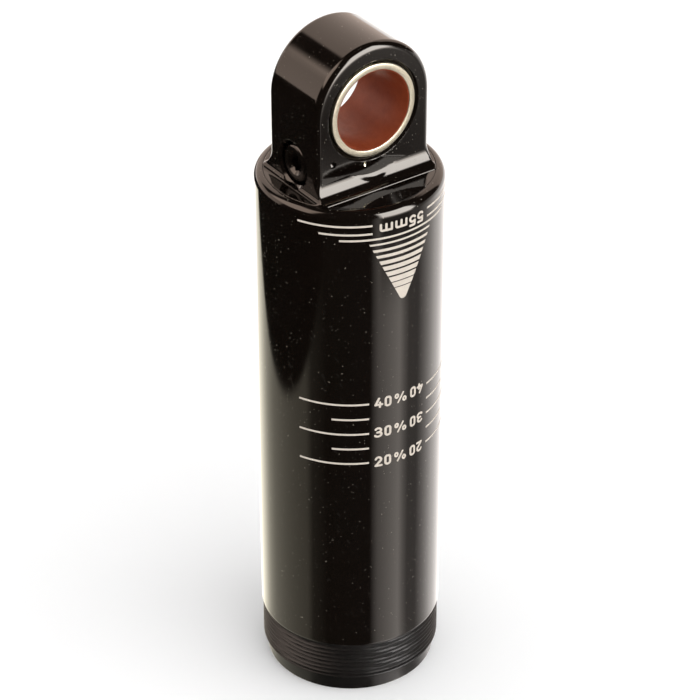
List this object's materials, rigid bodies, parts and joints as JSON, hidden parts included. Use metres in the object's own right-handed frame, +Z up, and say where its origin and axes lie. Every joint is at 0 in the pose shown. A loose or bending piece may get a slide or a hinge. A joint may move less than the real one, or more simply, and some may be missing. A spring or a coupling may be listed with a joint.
{
  "type": "bicycle rear shock damper unit",
  "caption": "Damper unit of a bicycle rear air shock: eyelet head with lined bushing, black body tube with a sag scale and threaded end, shaft, piston and floating piston inside.",
  "frame": {"origin": "centre of the body tube's lower rim, in the plane of the rim's face", "axes": "+Z up the tube towards the eyelet, Y along the eyelet bore with the printed face towards -Y, X across the eyelet block with the fill port towards -X"},
  "size_m": [0.029, 0.029, 0.1133],
  "materials": {
    "head_anodised": "polished black anodised",
    "tube_anodised": "gloss black anodised with pale printed scale",
    "bushing_steel": "tinned steel, slightly worn",
    "bushing_liner": "red-brown low-friction liner",
    "screw_black": "black oxide",
    "seal_rubber": "matte black rubber",
    "seal_polymer": "filled low-friction polymer",
    "bronze_polymer": "bronze-filled low-friction polymer",
    "inner_aluminium": "machined, clear anodised",
    "shaft_chrome": "hard chrome, polished",
    "spring_steel": "ground spring steel",
    "nut_steel": "zinc plated",
    "rod_brass": "turned"
  },
  "bodies": {
    "body": {"eyelet_head": "head_anodised", "body_tube": "tube_anodised", "bushing_shell": "bushing_steel", "bushing_liner": "bushing_liner", "head_o_ring": "seal_rubber", "seal_head": "inner_aluminium", "seal_head_o_ring": "seal_rubber", "shaft_bushing": "bronze_polymer", "shaft_wiper": "seal_rubber", "shaft_seal": "seal_polymer", "top_out_bumper": "seal_rubber", "retaining_ring": "spring_steel"},
    "shaft": {"damper_shaft": "shaft_chrome", "backing_washer": "spring_steel", "rebound_shim_small": "spring_steel", "rebound_shim_large": "spring_steel", "main_piston": "inner_aluminium", "piston_band_o_ring": "seal_rubber", "piston_glide_band": "bronze_polymer", "compression_shim_large": "spring_steel", "compression_shim_small": "spring_steel", "piston_nut": "nut_steel"},
    "rebound_needle": {"rebound_rod": "rod_brass", "rebound_rod_o_ring": "seal_rubber"},
    "gas_piston": {"floating_piston": "inner_aluminium", "floating_piston_o_ring": "seal_rubber", "floating_piston_glide_ring": "seal_polymer", "bleed_screw": "nut_steel"},
    "port_seal": {"fill_screw_seal": "seal_rubber"},
    "port_screw": {"fill_screw": "screw_black"}
  },
  "joints": [
    {"name": "shaft_stroke", "type": "slide", "parent": "body", "child": "shaft", "axis": [0, 0, -1], "range_m": [0, 0.055]},
    {"name": "gas_piston_float", "type": "slide", "parent": "body", "child": "gas_piston", "axis": [0, 0, -1], "range_m": [0, 0.00749]},
    {"name": "rebound_adjust", "type": "slide", "parent": "shaft", "child": "rebound_needle", "axis": [0, 0, 1], "range_m": [0, 0.0012]},
    {"name": "fill_screw_turn", "type": "hinge", "parent": "port_seal", "child": "port_screw", "pos_m": [-0.0103, 0, 0.09385], "axis": [-1, 0, 0], "range_deg": [0, 1440]},
    {"name": "fill_screw_lift", "type": "slide", "parent": "body", "child": "port_seal", "axis": [-1, 0, 0], "range_m": [0, 0.0028]}
  ],
  "couplings": [
    {"joint": "gas_piston_float", "follows": "shaft_stroke", "ratio": 0.13605},
    {"joint": "fill_screw_turn", "follows": "fill_screw_lift", "rad_per_m": 8976}
  ]
}
